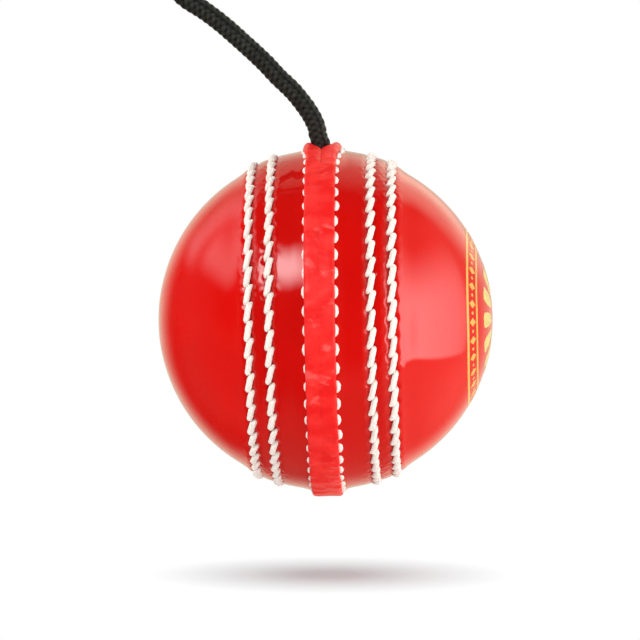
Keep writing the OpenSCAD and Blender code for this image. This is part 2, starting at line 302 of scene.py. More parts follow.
class Wiring:
    """Adds nodes to a tree and joins them up. An input is a constant or another node's output."""

    def __init__(self, tree):
        self.tree = tree

    def plug(self, value, socket):
        if isinstance(value, bpy.types.NodeSocket):
            self.tree.links.new(value, socket)
        else:
            socket.default_value = value

    def node(self, kind, inputs=None, **attributes):
        made = self.tree.nodes.new("ShaderNode" + kind)
        for name, value in attributes.items():
            setattr(made, name, value)
        for name, value in (inputs or {}).items():
            self.plug(value, made.inputs[name])
        return made

    def math(self, operation, first, second):
        return self.node("Math", {0: first, 1: second}, operation=operation).outputs[0]

    def spread(self, value, low, high, to_low=0.0, to_high=1.0, kind="LINEAR"):
        inputs = {"Value": value, "From Min": low, "From Max": high, "To Min": to_low, "To Max": to_high}
        return self.node("MapRange", inputs, interpolation_type=kind).outputs["Result"]

    def eased(self, *values):
        return self.spread(*values, kind="SMOOTHSTEP")

    def mix(self, factor, first, second):
        return self.node("MixShader", {0: factor, 1: first, 2: second}).outputs[0]


class Shader(Wiring):
    """One material, built round its main shader."""

    def __init__(self, name):
        self.material = bpy.data.materials.new(name)
        self.material.use_nodes = True
        super().__init__(self.material.node_tree)
        self.main = self.tree.nodes["Principled BSDF"]
        self.places = self.node("TexCoord").outputs["Object"]

    def finished(self, **sockets):
        """Fills the main shader's sockets and gives the material."""
        for name, value in sockets.items():
            self.plug(value, self.main.inputs[name.replace("_", " ").title().replace("Ior", "IOR")])
        return self.material

    def noise(self, size, detail=2.0, stretch=None):
        """Noise whose patches are about size metres across, stretched along the axes if asked."""
        places = self.places
        if stretch:
            places = self.node("Mapping", {"Vector": places, "Scale": stretch}).outputs["Vector"]
        return self.node("TexNoise", {"Vector": places, "Scale": 1 / size, "Detail": detail}).outputs["Fac"]

    def tone(self):
        return self.node("Attribute", attribute_name="tone").outputs["Fac"]

    def blend(self, factor, first, second):
        tints = [v if isinstance(v, bpy.types.NodeSocket) else (*v, 1.0) for v in (first, second)]
        return self.node("Mix", {0: factor, 6: tints[0], 7: tints[1]}, data_type="RGBA").outputs[2]

    def bump(self, height, distance, under=None):
        made = self.node("Bump", {"Height": height, "Distance": distance, "Strength": 1.0})
        if under:
            self.plug(under, made.inputs["Normal"])
        return made.outputs["Normal"]


def darker(tint, level):
    return tuple(level * c for c in tint)


def polished_leather(finish):
    """Red leather under a hard, glossy dressing: faint cloudiness, darker on the belt and painted shade in
    the furrows of the stitch rows, with a slight waviness and fine pores."""
    s = Shader("polished_leather")
    cloud = s.spread(s.noise(0.014, 1.0), 0.2, 0.8)
    dye = s.blend(cloud, finish.leather_deep, finish.leather)
    # Painted shade: the tone attribute darkens the furrows of the stitch rows, and also makes the belt darker
    furrow = s.spread(s.tone(), 0.25, 1.0, 0.0, 0.6)
    wavy = s.bump(s.noise(0.008, 0.0), 0.00002)
    pores = s.bump(s.noise(0.0006), 0.000004, under=wavy)
    return s.finished(base_color=s.blend(furrow, dye, darker(finish.leather_deep, 0.25)), normal=pores,
                      roughness=s.spread(s.noise(0.004), 0.2, 0.8, 0.24, 0.34), specular_ior_level=0.02,
                      coat_weight=1.0, coat_roughness=0.05, coat_normal=wavy)


def welt_leather(finish):
    """Matte red leather strip, mottled and creased across, with pale flecks painted on as glints in a few
    places.
    """
    s = Shader("welt_leather")
    mottle = s.spread(s.noise(0.0036, 4.0, (0.7, 1.0, 1.0)), 0.40, 0.64)
    # Painted highlights: pale flecks in the welt's colour stand for glints
    glints = s.spread(s.noise(0.0022, 3.0, (0.6, 1.0, 1.0)), 0.61, 0.72)
    dye = s.blend(mottle, finish.welt_deep, finish.welt)
    creases = s.bump(s.noise(0.0034, 2.0, (0.6, 1.0, 1.0)), 0.0005)
    pores = s.bump(s.noise(0.0004), 0.00002, under=creases)
    return s.finished(base_color=s.blend(glints, dye, finish.welt_glint), normal=pores,
                      roughness=s.spread(mottle, 0.0, 1.0, 0.45, 0.32), specular_ior_level=0.3)


def waxed_thread(finish):
    """Off-white thread: painted shade between its plies, with fine fibres."""
    s = Shader("waxed_thread")
    # Painted shade: the thread is darker in the valleys between its plies
    ply_shade = s.spread(s.tone(), 0.0, 0.6)
    fibres = s.bump(s.noise(0.00022, 3.0), 0.00004)
    return s.finished(base_color=s.blend(ply_shade, darker(finish.thread, 0.94), finish.thread), normal=fibres,
                      roughness=0.72, sheen_weight=0.25, sheen_roughness=0.4)


def braided_black(finish):
    """Black polyester braid: painted shade in the valleys, dull shine on the crowns, fine filaments."""
    s = Shader("braided_black")
    # Painted shade: the valleys are painted nearly black, and the crowns keep the cord's colour in random
    # patches
    crown = s.spread(s.tone(), 0.58, 0.95)
    patch = s.spread(s.noise(0.0035), 0.35, 0.65, 0.55, 1.0)
    lit = s.math("MULTIPLY", crown, patch)
    filaments = s.bump(s.noise(0.00018), 0.00005)
    return s.finished(base_color=s.blend(lit, finish.cord_valley_shade, finish.cord), normal=filaments,
                      roughness=s.spread(crown, 0.0, 1.0, 0.75, 0.5), specular_ior_level=0.4,
                      sheen_weight=0.1, sheen_roughness=0.35)


def gold_foil(name, tint):
    """Pressed gold print, a little uneven."""
    s = Shader(name)
    wear = s.spread(s.noise(0.0012, 4.0), 0.3, 0.55)
    return s.finished(base_color=s.blend(wear, darker(tint, 0.8), tint), metallic=0.1,
                      roughness=s.spread(wear, 0.0, 1.0, 0.42, 0.3), coat_weight=0.6, coat_roughness=0.08)


def wound_twine(finish):
    """Tight layers of twine that cross at a slant, with painted shade where the strands sink."""
    s = Shader("wound_twine")
    wave = {"Vector": s.places, "Scale": 260.0, "Distortion": 6.0, "Detail": 2.0}
    strand = s.node("TexWave", wave, bands_direction="DIAGONAL").outputs["Fac"]
    # Painted shade: the colour darkens where the strands sink
    return s.finished(base_color=s.blend(strand, darker(finish.twine, 0.55), finish.twine),
                      normal=s.bump(strand, 0.0004), roughness=0.85)


def pressed_cork(finish):
    """Cork granules pressed together."""
    s = Shader("pressed_cork")
    grain = s.node("TexVoronoi", {"Vector": s.places, "Scale": 1 / 0.0022}).outputs
    tint = s.node("SeparateColor", {"Color": grain["Color"]}).outputs[0]
    return s.finished(base_color=s.blend(tint, darker(finish.cork, 0.45), finish.cork),
                      normal=s.bump(grain["Distance"], 0.0003), roughness=0.8)


def core_compound(finish):
    """Rubber with cork crumbs in it."""
    s = Shader("core_compound")
    crumbs = s.spread(s.noise(0.0014, 3.0), 0.5, 0.58)
    return s.finished(base_color=s.blend(crumbs, finish.compound, finish.cork), normal=s.bump(crumbs, 0.0001),
                      roughness=s.spread(crumbs, 0.0, 1.0, 0.6, 0.85))


def washer_nylon(finish):
    """Natural nylon, finely scratched."""
    s = Shader("washer_nylon")
    scratch = s.noise(0.0005, 3.0, (1.0, 0.1, 1.0))
    return s.finished(base_color=s.blend(scratch, darker(finish.nylon, 0.85), finish.nylon),
                      normal=s.bump(scratch, 0.00002), roughness=s.spread(scratch, 0.0, 1.0, 0.35, 0.5))


def dress(piece, material, slot=None, body=None, *nodes):
    """Gives a piece its finish, hangs it on the body that it rides on, and hides the solids that it stands
    for.
    """
    piece.data.materials.clear()
    piece.data.materials.append(material)
    if body:
        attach(piece, body)
    if nodes:
        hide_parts(*nodes)


# The cord

# The route from the bend at the ball up to the bend under the neck, in metres from the ball's bend
CORD_ROUTE = [
    (-0.0009, 0, 0), (-0.0013, 0, 0.0021), (-0.00245, 0, 0.0046), (-0.00425, 0, 0.0073),
    (-0.00645, 0, 0.0100), (-0.0091, 0, 0.0126), (-0.0126, 0, 0.0164), (-0.0167, 0, 0.0203),
    (-0.02075, 0, 0.0240), (-0.0248, 0, 0.0272), (-0.0287, 0, 0.0298), (-0.0314, 0, 0.0326),
    (-0.0332, 0, 0.0365), (-0.0334, 0, 0.0410), (-0.0322, 0, 0.0460), (-0.0296, 0, 0.0510),
    (-0.0260, 0, 0.0560), (-0.0218, 0, 0.0610), (-0.0172, 0, 0.0660), (-0.0124, 0, 0.0710),
    (-0.0078, 0, 0.0760), (-0.0040, 0, 0.0810), (-0.0014, 0, 0.0860), (-0.0002, 0, 0.0910), (0, 0, 0.0950),
]
# Where the lower piece of the cord ends, and how far under the ball's bend it begins
ROUTE_SPLIT = CORD_ROUTE[10]
SHANK_DEPTH = 0.008
# For each free piece: the bodies that it joins, the bend between them, how far above and below its middle the
# piece bends, and the solid that it stands for
CORD_BENDS = {
    "lower_cord": ("cord", "shank", EXIT, 0.0045, 0.0012, "cord_run"),
    "upper_cord": ("neck", "cord", SWING, 0.0059, 0.0059, "cord_neck"),
    "tied_loop": ("loop", "neck", SWAY, 0.0030, 0.0059, "hang_loop"),
}
RING_STEP = 0.00015
CORD_SIDES = 84
# The height in the braid at which the cord has its own diameter
BRAID_LEVEL = 0.7
# The sunk edge of one column of plaits: the way it faces at the ball, its depth, and its width in radians
SUNK_WAY = (0.45, -0.89, 0)
SUNK_DEPTH = 0.36
SUNK_WIDTH = 0.13
# How much thinner the lips squeeze the cord, and over what length
LIP_SQUEEZE = 0.04
LIP_SQUEEZE_REACH = 0.0028


def smooth_line(points, steps=24):
    """A Catmull-Rom curve through the points."""
    p = np.array(points, float)
    p = np.concatenate([[2 * p[0] - p[1]], p, [2 * p[-1] - p[-2]]])
    t = (np.arange(steps) / steps)[None, :, None]
    a, b, c, d = (p[i:len(p) - 3 + i, None] for i in range(4))
    line = (2 * b + (c - a) * t + (2 * a - 5 * b + 4 * c - d) * t ** 2 + (3 * b - a - 3 * c + d) * t ** 3) / 2
    return np.concatenate([line.reshape(-1, 3), p[-2:-1]])


def even_line(line, step):
    """The same line with its points a step apart, and how far along each one is."""
    along = np.concatenate([[0], np.linalg.norm(np.diff(line, axis=0), axis=1).cumsum()])
    places = np.linspace(0, along[-1], int(along[-1] / step) + 1)
    return np.stack([np.interp(places, along, line[:, i]) for i in range(3)], axis=-1), places


def nearest_point(line, place):
    return int(np.linalg.norm(line - np.array(place), axis=1).argmin())


def carried_sides(line):
    """A side direction and the one across it for each point, carried along the line without twisting."""
    heading = unit(np.gradient(line, axis=0))
    side = np.zeros_like(line)
    last = np.array([0.0, 1.0, 0.0])
    for i, ahead in enumerate(heading):
        last = unit(last - (last @ ahead) * ahead)
        side[i] = last
    return side, np.cross(heading, side)


def loop_points(sizes):
    """The tied loop: up through the knot, round the eye, back down, and twice about itself in an overhand
    knot."""
    r, gap = sizes.diameter / 2, sizes.turn_gap
    knot_z = -sizes.eye_length
    twist = r + gap / 2
    inner = 2 * r + gap
    lead = 3.5 * r
    spread = 0.7 * gap
    facing = math.radians(35)
    throat = knot_z + lead
    eye_half = sizes.eye_width / 2 + r
    widest = math.sin(math.radians(120)) * math.sin(math.radians(60)) ** 2

    def eye(t):
        x = inner * ease((t - math.pi) / math.pi) - eye_half / widest * math.sin(t) * math.sin(t / 2) ** 2
        return (x, 0, throat + (r - throat) * (1 - math.cos(t)) / 2)

    def polar(radius, turn, z):
        return (radius * math.cos(turn), radius * math.sin(turn), z)

    def knot(t):
        return polar(inner + twist + twist * math.cos(3 * t), 2 * (t - math.radians(60)) + facing,
                     knot_z + 1.1 * twist * math.sin(3 * t))

    knot_end = np.array(knot(math.radians(330)))
    leaving = sizes.tail * unit(knot_end - np.array(knot(math.radians(325))))
    droop = np.array((0, 0, 0.3 * sizes.tail))
    return [
        *[(0, 0, z) for z in (knot_z - 4 * r, knot_z - 2 * r, knot_z, knot_z + lead / 2, throat)],
        *[eye(math.radians(t)) for t in range(70, 291, 20)],
        polar(inner + spread, 0, throat),
        polar(inner + spread / 2, facing / 3, knot_z + lead / 2),
        *[knot(math.radians(t)) for t in range(60, 331, 10)],
        knot_end + 0.45 * leaving - droop / 6,
        knot_end + leaving - droop,
    ]


def stopper_points(sizes):
    """The cord's lower end, from its tail up: a hitch round itself under the washer, then up the core."""
    r = sizes.diameter / 2
    turn_r = 2.08 * r
    top = WASHER_FOOT - 1.15 * r
    fold = top - 1.3 * r
    hitch = [(turn_r * math.cos(a), turn_r * math.sin(a), fold + (top - fold) * float(ease(a / 1.2)))
             for a in np.linspace(math.radians(295), 0.0, 16)]
    bend = [(turn_r / 2 * (1 + math.cos(a)), 0, fold - turn_r / 2 * math.sin(a))
            for a in np.linspace(0.35, math.pi, 7)]
    rise = [(0, 0, z) for z in np.linspace(fold, EXIT.z - 0.003, 12)[1:]]
    return hitch + bend + rise


def braid_rings(line, along, side, across, sizes):
    """Rings of a braided tube, and how high each point lies in the braid. Two sets of strands wind opposite
    ways and pass over and under each other in turn, so the plaits lie in columns, some looser than others.
    One column's edge is sunk all along, and the lips squeeze the cord where it leaves the ball."""
    strands = sizes.strands
    turn = full_turn(CORD_SIDES)[None, :]
    wound = along[:, None] / (strands * sizes.plait)
    left = strands * (turn / (2 * math.pi) - wound)
    right = strands * (turn / (2 * math.pi) + wound)
    fullness = np.random.default_rng(71).uniform(0.45, 1.0, (2, strands, 191))

    def strand(own, other, sign, full):
        number = np.round(own).astype(int)
        crossing = np.round(other).astype(int) - number
        off = 2 * (own - number)
        crown = np.sqrt(np.clip(1 - off ** 2, 0, 1))
        over = sign * np.cos(math.pi * (other + number))
        over = np.where(over > 0, over * full[number % strands, crossing % full.shape[1]], over)
        return 0.5 * crown + 0.5 * (0.5 + 0.5 * over) * crown ** 0.5

    height = np.maximum(strand(left, right, 1, fullness[0]), strand(right, left, -1, fullness[1]))
    at_exit = nearest_point(line, EXIT)
    sunk = math.atan2(across[at_exit] @ SUNK_WAY, side[at_exit] @ SUNK_WAY)
    height = height - SUNK_DEPTH * np.exp(-(np.angle(np.exp(1j * (turn - sunk))) / SUNK_WIDTH) ** 2)
    squeeze = 1 - LIP_SQUEEZE * np.exp(-((line[:, 2] - EXIT.z) / LIP_SQUEEZE_REACH) ** 2)[:, None]
    radius = sizes.diameter / 2 * squeeze + sizes.relief * (height - BRAID_LEVEL)
    ring = np.cos(turn)[..., None] * side[:, None] + np.sin(turn)[..., None] * across[:, None]
    return line[:, None] + radius[..., None] * ring, height


class HANGING_BALL_OT_cord(bpy.types.Operator):
    """Braided cord: the tied loop, the neck, the run and the end inside the ball"""
    bl_idname = "hanging_ball.cord"
    bl_label = "Braided cord"

    def execute(self, context):
        sizes = settings().cord
        neck_middle = (SWING + SWAY) / 2
        run = [EXIT + Vector(place) for place in CORD_ROUTE]
        points = [*stopper_points(sizes), *run, SWING, neck_middle, SWAY, *loop_points(sizes)]
        line, along = even_line(smooth_line(points), RING_STEP)
        rings, height = braid_rings(line, along, *carried_sides(line), sizes)
        places = (EXIT - Vector((0, 0, SHANK_DEPTH)), EXIT + Vector(ROUTE_SPLIT), neck_middle)
        cuts = [0, *[nearest_point(line, place) for place in places], len(line) - 1]
        finish = braided_black(settings().finish)
        for name, first, last in zip(("shank_cord", *CORD_BENDS), cuts, cuts[1:]):
            part = slice(first, last + 1)
            # The braid's height goes to the finish, which paints shade into the valleys
            piece = tubes_object(name, rings[None, part], height[None, part])
            if name in CORD_BENDS:
                dress(piece, finish, "braided_cord")
                self.declare(piece, name, line[part], float(along[last] - along[first]), sizes.diameter)
            else:
                dress(piece, finish, "braided_cord", "shank", "cord_shank", "anchor_knot")
        return {"FINISHED"}

    @staticmethod
    def declare(piece, name, line, long, diameter):
        """Bakes a piece of the free cord between two bodies in place, and hides the solid that it stands for.
        """
        upper, lower, bend, above, below, node = CORD_BENDS[name]
        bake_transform(piece)
        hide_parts(node)


# The leather covers

COVER_COLUMNS = 560
BELT_ROW_STEP = 0.00035
CAP_ROWS = 34
CAP_CROWDING = 0.93
WALL_ROWS = 4
INSIDE_ROWS = 16
BELT_EDGE = math.radians(29)
POLE_EDGE = math.radians(89.2)
INSIDE_EDGE = math.radians(88)
CORD_CLEARANCE = 1.15
# The belt: the lengths over which it ends and slopes down from the welts, and its darkness against the
# painted shade of a furrow
BELT_FADE = 0.004
BELT_SLOPE = 0.0026
BELT_TONE = 0.5
FURROW_HALF = 0.0011
# How far the leather is pulled up against the welts, and over what length
WELT_PULL = 0.00018
WELT_PULL_REACH = 0.0007
# The dimple at the end of a stitch, and the rim round it
DIMPLE_R = 0.0006
RIM_R = 0.0012
RIM_WIDTH = 0.0005
RIM_SHARE = 0.25
SWAY_HEIGHT = 0.00003
SIDES = ((-1, "left"), (1, "right"))


class StitchRow:
    """Where the stitches of one slanted row lie: x is signed, and the turn runs from the top to the front."""

    def __init__(self, x, count, rows, radius):
        self.count = count
        self.lean = math.asin(x / radius)
        self.circle = radius * math.cos(self.lean)
        self.step = 2 * math.pi / count
        half = rows.stitch_length / 2
        self.along = half * math.cos(rows.slant) / self.circle
        self.aside = half * math.sin(rows.slant)

    def nearest(self, turn, shift):
        """Which stitch is nearest to a turn, when the stitches are shifted round, and how far off it is."""
        number = np.round((turn - shift) / self.step)
        return (number % self.count).astype(int), (turn - shift - number * self.step) * self.circle


def stitch_rows(side):
    rows, radius = settings().rows, settings().ball.radius
    return [StitchRow(side * rows.inner, rows.inner_count, rows, radius),
            StitchRow(side * rows.outer, rows.outer_count, rows, radius)]


def on_belt(x):
    """1 on the stitched belt, and 0 past its edge."""
    return ease(0.5 + (settings().ball.belt_reach - x) / BELT_FADE)


def furrows(side, lean):
    """How deep in the furrow of a stitch row the leather lies, from 0 to 1."""
    radius = settings().ball.radius
    return sum(np.exp(-((lean - abs(row.lean)) * radius / FURROW_HALF) ** 2) for row in stitch_rows(side))


def leather_height(side, lean, turn):
    """How far the leather stands above the round at a lean from the seam and a turn about it."""
    ball = settings().ball
    x = ball.radius * np.sin(lean)
    off_welt = x - settings().seam.width / 2
    belt = on_belt(x) * (1.15 - 0.3 * ease(off_welt / BELT_SLOPE))
    pulled_up = WELT_PULL * np.exp(-np.clip(off_welt, 0, None) / WELT_PULL_REACH)
    height = ball.belt_lift * belt + pulled_up - ball.row_dip * furrows(side, lean) * np.ones_like(turn)
    rng = np.random.default_rng(11 if side > 0 else 12)
    for row in stitch_rows(side):
        off = (lean - abs(row.lean)) * ball.radius
        pull = rng.uniform(0.5, 1.3, (2, row.count))
        for end, strength in zip((1, -1), pull):
            number, away = row.nearest(turn, -end * row.along)
            reach = np.hypot(away, off - side * end * row.aside)
            dimple = np.exp(-(reach / DIMPLE_R) ** 2)
            rim = np.exp(-((reach - RIM_R) / RIM_WIDTH) ** 2)
            height = height + ball.hole_dip * strength[number] * (RIM_SHARE * rim - dimple)
    return height


def leather_sway(side, lean, turn):
    """A slight unevenness of the leather, gone at the pole, in metres."""
    waves = Ripples(21 if side > 0 else 22, 10, 2, 9, 120.0)(settings().ball.radius * np.sin(lean), turn)
    return SWAY_HEIGHT * waves * ease(np.cos(lean) / 0.4)


def cover_rings(side):
    """Rings of one cover from its pole along the outside to the edge, and back along the inside, and how much
    darker each point is painted: darker on the belt, and painted shade in its furrows."""
    ball = settings().ball
    radius, inner_r = ball.radius, ball.radius - ball.thickness
    edge = math.asin(ball.edge / radius)
    belt = np.linspace(edge, BELT_EDGE, int(radius * (BELT_EDGE - edge) / BELT_ROW_STEP))
    cap = BELT_EDGE + (POLE_EDGE - BELT_EDGE) * np.linspace(0, 1, CAP_ROWS + 1)[1:] ** CAP_CROWDING
    lean = np.concatenate([belt, cap])[::-1, None]
    turn = full_turn(COVER_COLUMNS, -math.pi)[None, :]
    out = radius + leather_height(side, lean, turn) + leather_sway(side, lean, turn)
    outside_x, outside_r = out * np.sin(lean), out * np.cos(lean)
    inside_lean = np.linspace(math.asin(ball.edge / inner_r), INSIDE_EDGE, INSIDE_ROWS)[:, None]
    inside_lean = inside_lean + np.zeros_like(turn)
    inside_x, inside_r = inner_r * np.sin(inside_lean), inner_r * np.cos(inside_lean)
    wall = np.linspace(0, 1, WALL_ROWS + 2)[1:-1, None]
    wall_r = outside_r[-1:] + (inside_r[:1] - outside_r[-1:]) * wall
    x = np.concatenate([outside_x, np.full_like(wall_r, ball.edge), inside_x])
    r = np.concatenate([outside_r, wall_r, inside_r])
    # The edge steps aside round the cord
    clear = CORD_CLEARANCE * settings().cord.diameter / 2
    hole = np.sqrt(np.clip(clear ** 2 - (r * np.sin(turn)) ** 2, 0, None)) * (np.cos(turn) > 0)
    # Painted shade in the furrows of the stitch rows, and a darker belt, for the leather finish
    dark = np.zeros_like(x)
    dark[:len(outside_x)] = np.maximum(furrows(side, lean), BELT_TONE * on_belt(outside_x))
    return round_seam(side * np.maximum(x, hole), r, turn), dark


class HANGING_BALL_OT_covers(bpy.types.Operator):
    """Polished leather covers, sunk under the stitches and pulled in at their holes"""
    bl_idname = "hanging_ball.covers"
    bl_label = "Leather covers"

    def execute(self, context):
        finish = polished_leather(settings().finish)
        for side, word in SIDES:
            rings, dark = cover_rings(side)
            piece = tubes_object(f"{word}_cover_leather", rings[None], dark[None])
            dress(piece, finish, "lacquered_leather", "ball", f"{word}_cover")
        return {"FINISHED"}


# The raised seam

WELT_COLUMNS = 770
# Gaps of a welt: under its flange, and beside its tongue in the middle of the seam
FLANGE_GAP = 0.0001
TONGUE_GAP = 0.00015
# How far down from the crest a welt is wrinkled and rounded, and how far its back is rounded
CROWN_DEPTH = 0.0012
BACK_ROUND = 0.00012
# How far the waves and the stitches move a welt's edge in and out
EDGE_WAVE = 0.00004
EDGE_PINCH = 0.00006
# Distances along the seam from the cord: the notch's half, and how far the parting between the welts shows
NOTCH_HALF = 0.0075
PARTING_REACH = 0.012
# Round the cord: the hole's width against the cord's, how much wider the tongues are, and the least wall
WELT_CLEARANCE = 1.06
TONGUE_BULGE = 0.0009
LEAST_WALL = 0.0003
# How much rounder the lips' outer corners are than the welts'
LIP_ROUND = 0.0010


def lip_swell(y):
    """How far the lips have swollen, from 0 to 1, at a distance along the seam from the cord."""
    half = settings().seam.lip_length / 2
    return ease((half - np.abs(y)) / (0.55 * half))


def rounded_corner(centre, radius, first, last, count):
    turn = np.radians(np.linspace(first, last, count))
    return [(centre[0] + radius * math.cos(a), centre[1] + radius * math.sin(a)) for a in turn]


def stretch(a, b, count):
    return [tuple(np.array(a) + (np.array(b) - np.array(a)) * t) for t in np.linspace(0, 1, count + 1)[:-1]]


def welt_section():
    """Outline of one welt: x from the seam's middle and radius from the X axis, round the tongue and the
    flange."""
    ball, seam = settings().ball, settings().seam
    half, near, curve = seam.width / 2, seam.crease, seam.rounding
    foot, crest = ball.radius + FLANGE_GAP, CREST_R
    deep = ball.radius - ball.thickness + FLANGE_GAP
    tongue_x = seam.tongue + TONGUE_GAP
    inner = 0.04 * curve
    shoulder = foot - 0.0004
    return np.array(
        stretch((TONGUE_GAP, deep), (tongue_x, deep), 3)
        + stretch((tongue_x, deep), (tongue_x, foot), 6)
        + stretch((tongue_x, foot), (half, foot), 5)
        + stretch((half, foot), (half, crest - curve), 7)
        + rounded_corner((half - curve, crest - curve), curve, 0, 90, 8)
        + stretch((half - curve, crest), (near + inner, crest), 14)[1:]
        + rounded_corner((near + inner, crest - inner), inner, 90, 180, 6)
        + stretch((near, crest - inner), (near, foot), 8)[1:]
        + stretch((near, foot), (TONGUE_GAP, shoulder), 1)
        + stretch((TONGUE_GAP, shoulder), (TONGUE_GAP, deep), 5)
    )


def welt_grid(side):
    """Points of one welt: its section carried round the ball, wrinkled, and opened into a lip at the cord."""
    ball, seam = settings().ball, settings().seam
    section = welt_section()
    turn = full_turn(WELT_COLUMNS, -math.pi)[:, None]
    x, r = section[None, :, 0], section[None, :, 1]
    half, foot = seam.width / 2, ball.radius + FLANGE_GAP
    showing = ease((r - foot) / (CREST_R - foot))
    crown = ease((r - (CREST_R - CROWN_DEPTH)) / CROWN_DEPTH)
    beside = ease(x / half)
    y = np.abs(r * np.sin(turn))
    top = np.cos(turn) > 0
    swell = lip_swell(y) * top
    # Wrinkles across the strip, a pinch at each stitch, and a rounded back, parted in the middle by the cord
    wrinkles = Ripples(31 + side, 18, 14, 75, 700.0)(x, turn)
    pinch = np.cos(seam.stitch_count * turn + math.pi * seam.stitch_count + math.pi)
    r = r + crown * (1 - swell) * seam.wrinkle * (0.3 * wrinkles + 0.6 * beside * pinch)
    back = 2 * x / half - 1
    parting = 2 * ease(2 - y / PARTING_REACH) * top
    r = r - crown * BACK_ROUND * np.where(back > 0, 1, parting) * back ** 2
    edge_waves = Ripples(41 + side, 12, 20, 90, 0.0)(x, turn)
    x = x + showing * beside * (EDGE_WAVE * edge_waves + EDGE_PINCH * pinch)
    # The lips swell out where the cord comes through
    x = x + swell * showing * beside * seam.lip_spread
    r = r + swell * crown * seam.lip_lift
    # The notch and the cord's hole push the inner side out, and squeeze the section against its outer edge
    above = np.clip(r * np.cos(turn) - ball.radius - seam.notch_floor, 0, None)
    flank = above * math.tan(seam.notch_angle / 2) * ease(1.6 - 1.2 * y / NOTCH_HALF)
    hole = np.sqrt(np.clip((WELT_CLEARANCE * settings().cord.diameter / 2) ** 2 - y ** 2, 0, None))
    open_x = np.maximum(flank, hole) * top
    lip_x = half + swell * seam.lip_spread
    tongue_x = seam.tongue + TONGUE_GAP + TONGUE_BULGE * (hole > 0)
    outer = np.where(r > foot - FLANGE_GAP / 2, lip_x, tongue_x)
    squeezed = open_x + x * np.clip(outer - open_x, LEAST_WALL, None) / outer
    x = np.where(open_x > 0, squeezed, x)
    # The lips' outer corners are well rounded
    curve = seam.rounding + swell * LIP_ROUND
    over = np.clip(x - (lip_x - curve), 0, 0.95 * curve)
    r = r - swell * crown * (curve - np.sqrt(curve ** 2 - over ** 2))
    return round_seam(side * x, r, turn)


class HANGING_BALL_OT_welts(bpy.types.Operator):
    """Raised seam: two wrinkled leather welts with lips round the cord"""
    bl_idname = "hanging_ball.welts"
    bl_label = "Raised seam"

    def execute(self, context):
        finish = welt_leather(settings().finish)
        for side, word in SIDES:
            piece = hoop_object(f"{word}_welt_strip", welt_grid(side))
            dress(piece, finish, "welt_leather", "ball", f"{word}_welt")
        return {"FINISHED"}


# The stitches

STITCH_RINGS = 19
STITCH_SIDES = 18
PLIES = 3
PLY_DEPTH = 0.09
# Places along a stitch, from one end to the other
ALONG = np.linspace(-1, 1, STITCH_RINGS)[None, :]
# How much of a seam stitch shows on the left of the seam, against the right
LEFT_REACH = 0.55
# Seam stitches: how far their ends tuck in under the welt and go down, how far they lie above the belt, and
# how much less than the lips they move out
SEAM_TUCK = 0.0004
SEAM_DIVE = 0.0003
SEAM_LIFT = 0.0002
LIP_TUCK = 0.0002
# How far the ends of a row stitch go down into the leather
ROW_DIVE = 0.0008
# How far the plies turn in half a stitch, in radians
SEAM_TWIST = 3.4
ROW_TWIST = 4.2
# The range of the random turn at which a stitch's plies begin
ANY_TURN = 6.28


def sew(name, thread, lines, widths, heights, twists):
    """Stitches of twisted thread: lines[i, j] is point j of stitch i, widths and heights are the thread's
    sizes there, and twists the turn of its plies."""
    heading = unit(np.gradient(lines, axis=1))
    aside = unit(np.cross(heading, unit(lines - MIDDLE)))
    up = np.cross(aside, heading)
    turn = full_turn(STITCH_SIDES)
    lobe = 0.5 + 0.5 * np.cos(PLIES * (turn - twists[..., None]))
    scale = 1 - PLY_DEPTH * (1 - lobe) ** 2
    wide = (widths / 2)[..., None] * np.cos(turn) * scale
    high = (heights / 2)[..., None] * np.sin(turn) * scale
    tubes = lines[:, :, None] + wide[..., None] * aside[:, :, None] + high[..., None] * up[:, :, None]
    # Each point's lobe goes to the finish, which paints shade between the plies
    dress(tubes_object(name + "_thread", tubes, lobe), thread, "white_thread", "ball", name)


class HANGING_BALL_OT_seam_stitches(bpy.types.Operator):
    """Seam stitches that look out from under both edges of the raised seam"""
    bl_idname = "hanging_ball.seam_stitches"
    bl_label = "Seam stitches"

    def execute(self, context):
        ball, seam = settings().ball, settings().seam
        thread = waxed_thread(settings().finish)
        count, thick = seam.stitch_count, seam.stitch_thickness
        middle = (np.arange(count) + 0.5)[:, None] * 2 * math.pi / count - math.pi
        bulge = lip_swell(ball.radius * np.sin(middle)) * (np.cos(middle) > 0)
        taper = np.sqrt(np.clip(1 - 0.93 * ALONG ** 2, 0.02, 1))
        for side, word in SIDES:
            rng = np.random.default_rng(51 + side)
            size = rng.uniform(0.94, 1.06, count)[:, None]
            shown = rng.uniform(0.7, 1.0, count)[:, None] * (LEFT_REACH if side < 0 else 1.0)
            outer = seam.width / 2 + seam.stitch_reach * shown
            x = outer - thick / 2 - SEAM_TUCK * ALONG ** 2 + bulge * (seam.lip_spread - LIP_TUCK)
            r = np.sqrt(ball.radius ** 2 - x ** 2) + ball.belt_lift + SEAM_LIFT - SEAM_DIVE * ALONG ** 2
            lines = round_seam(side * x, r, middle + ALONG * size * seam.stitch_length / 2 / ball.radius)
            twists = side * (ALONG * SEAM_TWIST + rng.uniform(0, ANY_TURN, count)[:, None])
            sew(f"{word}_seam_stitches", thread, lines, thick * taper * size, 0.95 * thick * taper, twists)
        return {"FINISHED"}


